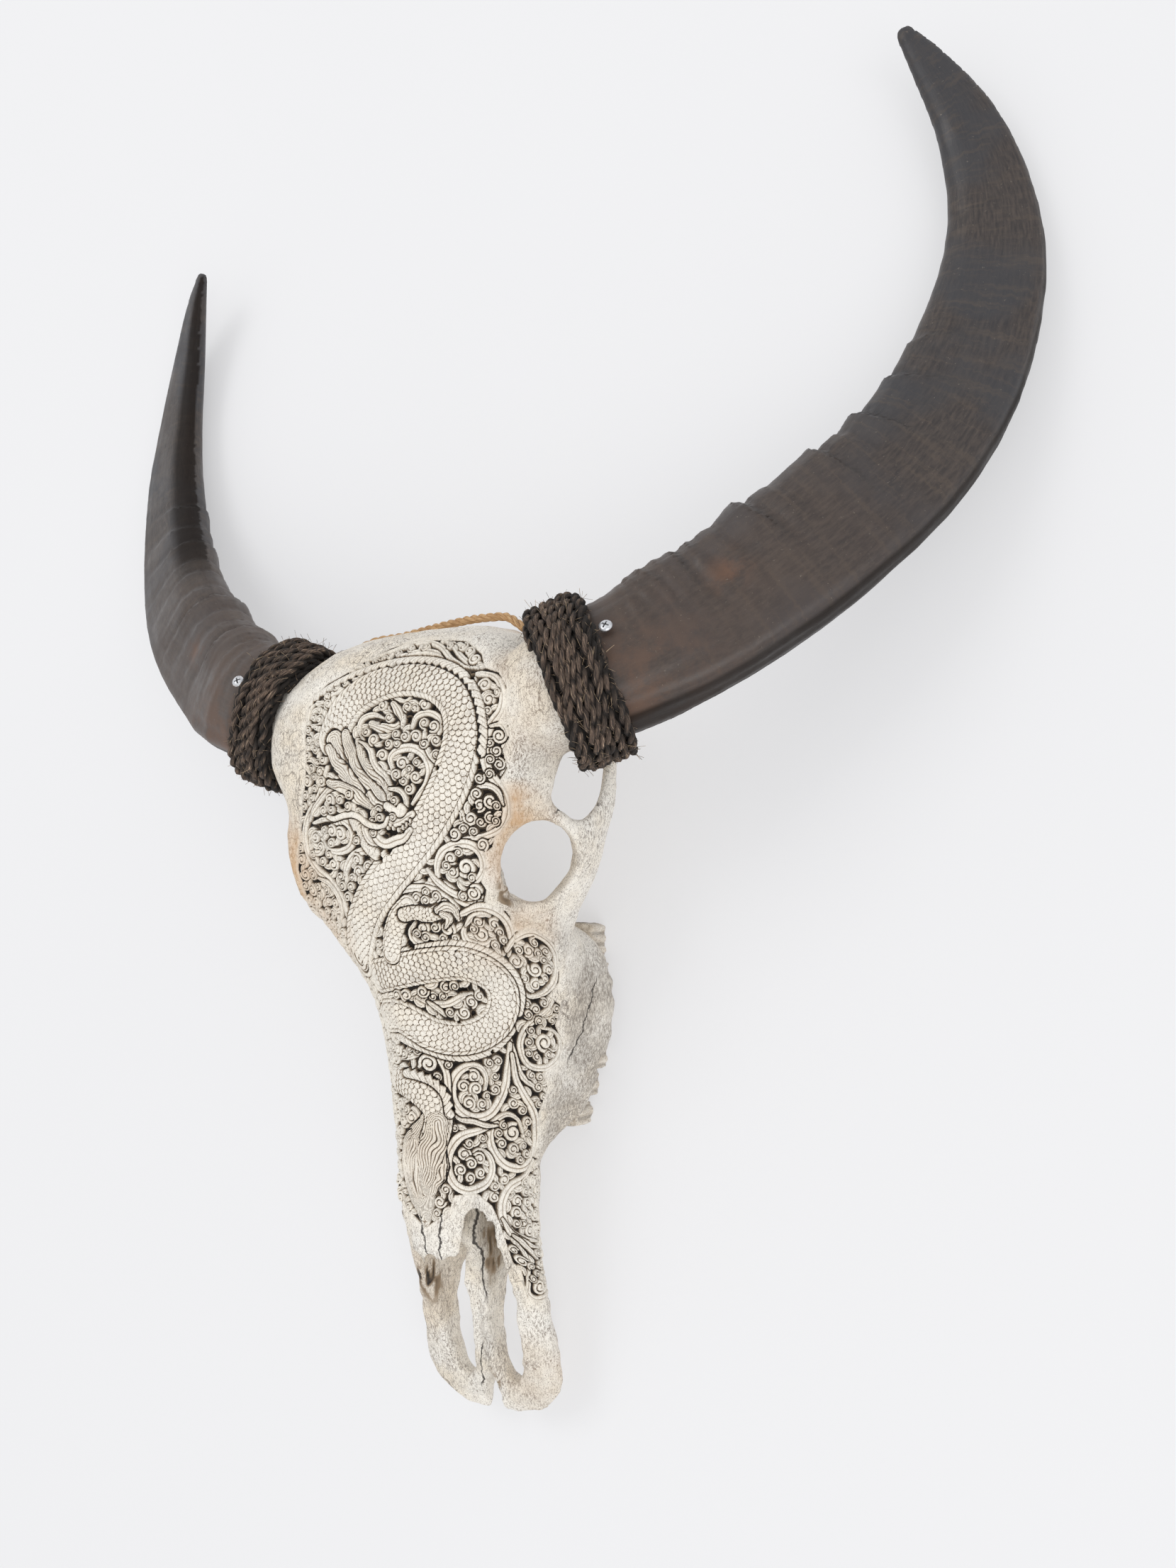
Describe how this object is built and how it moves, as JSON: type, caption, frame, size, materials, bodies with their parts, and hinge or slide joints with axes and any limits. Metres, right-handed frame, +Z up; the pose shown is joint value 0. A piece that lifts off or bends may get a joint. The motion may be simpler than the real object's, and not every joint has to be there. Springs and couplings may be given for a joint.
{
  "type": "carved buffalo skull",
  "caption": "Horned buffalo skull with a relief-carved face, rope-bound horn bases, cheek teeth and a hanging cord, lying face up.",
  "frame": {"origin": "centre of the footprint, at the height of the surface that the teeth and the horns rest on", "axes": "+Z up, away from the surface and out of the carved face; -Y towards the muzzle; +X towards the animal's left horn"},
  "size_m": [0.7724, 0.9023, 0.1843],
  "materials": {
    "bone": "dry matt bone",
    "horn": "satin horn",
    "rope": "coarse dark fibre rope",
    "tooth": "dull enamel",
    "zinc": "bright zinc plate",
    "cord": "tan laid cord"
  },
  "bodies": {
    "root": {"skull": "bone", "horn_left": "horn", "horn_right": "horn", "rope_binding_left": "rope", "rope_binding_right": "rope", "hanging_cord": "cord", "screw_left": "zinc", "screw_right": "zinc", "tooth_left_1": "tooth", "tooth_left_2": "tooth", "tooth_left_3": "tooth", "tooth_left_4": "tooth", "tooth_left_5": "tooth", "tooth_left_6": "tooth", "tooth_right_1": "tooth", "tooth_right_2": "tooth", "tooth_right_3": "tooth", "tooth_right_4": "tooth", "tooth_right_5": "tooth", "tooth_right_6": "tooth"}
  },
  "joints": []
}
